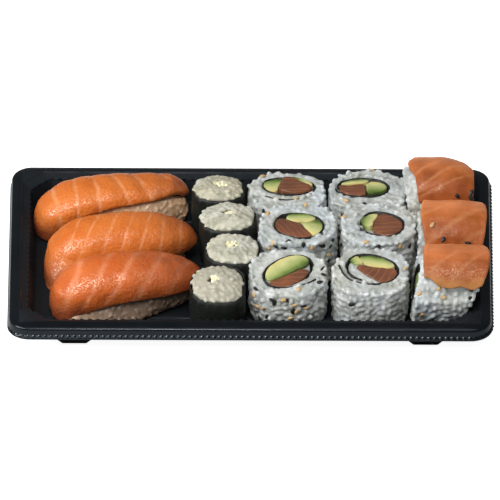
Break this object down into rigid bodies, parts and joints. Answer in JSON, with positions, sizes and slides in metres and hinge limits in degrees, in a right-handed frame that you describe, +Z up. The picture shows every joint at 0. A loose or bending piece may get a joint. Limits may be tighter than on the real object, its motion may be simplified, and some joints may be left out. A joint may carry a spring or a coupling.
{
  "type": "takeaway sushi tray",
  "caption": "Black rectangular takeaway tray on small feet, filled with salmon nigiri, thin nori rolls, inside-out rolls with sesame and rolls topped with salmon",
  "frame": {"origin": "centre of the tray's footprint, on the table under its feet", "axes": "+X along the tray's long side, towards the rolls topped with salmon; +Y from the front long side to the back one; +Z up"},
  "size_m": [0.255, 0.148, 0.0446],
  "materials": {
    "tray": "black thermoformed plastic sheet, glossy",
    "rice": "cooked short-grain rice, moist, faint sheen on each grain",
    "nori": "dark green-black seaweed sheet, slightly damp",
    "salmon": "raw salmon with pale fat lines, wet and glossy",
    "filling": "salmon strips in the rolls' middle, cut across, moist",
    "avocado": "ripe avocado, soft sheen, yellow-green with a greener edge",
    "cheese": "soft white cheese, smooth and slightly moist"
  },
  "bodies": {
    "root": {"tray": "tray", "nigiri_back_rice": "rice", "nigiri_back_salmon": "salmon", "nigiri_middle_rice": "rice", "nigiri_middle_salmon": "salmon", "nigiri_front_rice": "rice", "nigiri_front_salmon": "salmon", "thin_back_nori": "nori", "thin_back_rice": "rice", "thin_back_cheese": "cheese", "thin_middle_back_nori": "nori", "thin_middle_back_rice": "rice", "thin_middle_back_cheese": "cheese", "thin_middle_front_nori": "nori", "thin_middle_front_rice": "rice", "thin_middle_front_cheese": "cheese", "thin_front_nori": "nori", "thin_front_rice": "rice", "thin_front_cheese": "cheese", "roll_back_left_rice": "rice", "roll_back_left_nori": "nori", "roll_back_left_avocado": "avocado", "roll_back_left_salmon": "filling", "roll_back_right_rice": "rice", "roll_back_right_nori": "nori", "roll_back_right_avocado": "avocado", "roll_back_right_salmon": "filling", "roll_middle_left_rice": "rice", "roll_middle_left_nori": "nori", "roll_middle_left_avocado": "avocado", "roll_middle_left_salmon": "filling", "roll_middle_right_rice": "rice", "roll_middle_right_nori": "nori", "roll_middle_right_avocado": "avocado", "roll_middle_right_salmon": "filling", "roll_front_left_rice": "rice", "roll_front_left_nori": "nori", "roll_front_left_avocado": "avocado", "roll_front_left_salmon": "filling", "roll_front_right_rice": "rice", "roll_front_right_nori": "nori", "roll_front_right_avocado": "avocado", "roll_front_right_salmon": "filling", "topped_back_rice": "rice", "topped_back_nori": "nori", "topped_back_avocado": "avocado", "topped_back_salmon": "salmon", "topped_middle_rice": "rice", "topped_middle_nori": "nori", "topped_middle_avocado": "avocado", "topped_middle_salmon": "salmon", "topped_front_rice": "rice", "topped_front_nori": "nori", "topped_front_avocado": "avocado", "topped_front_salmon": "salmon"}
  },
  "joints": []
}
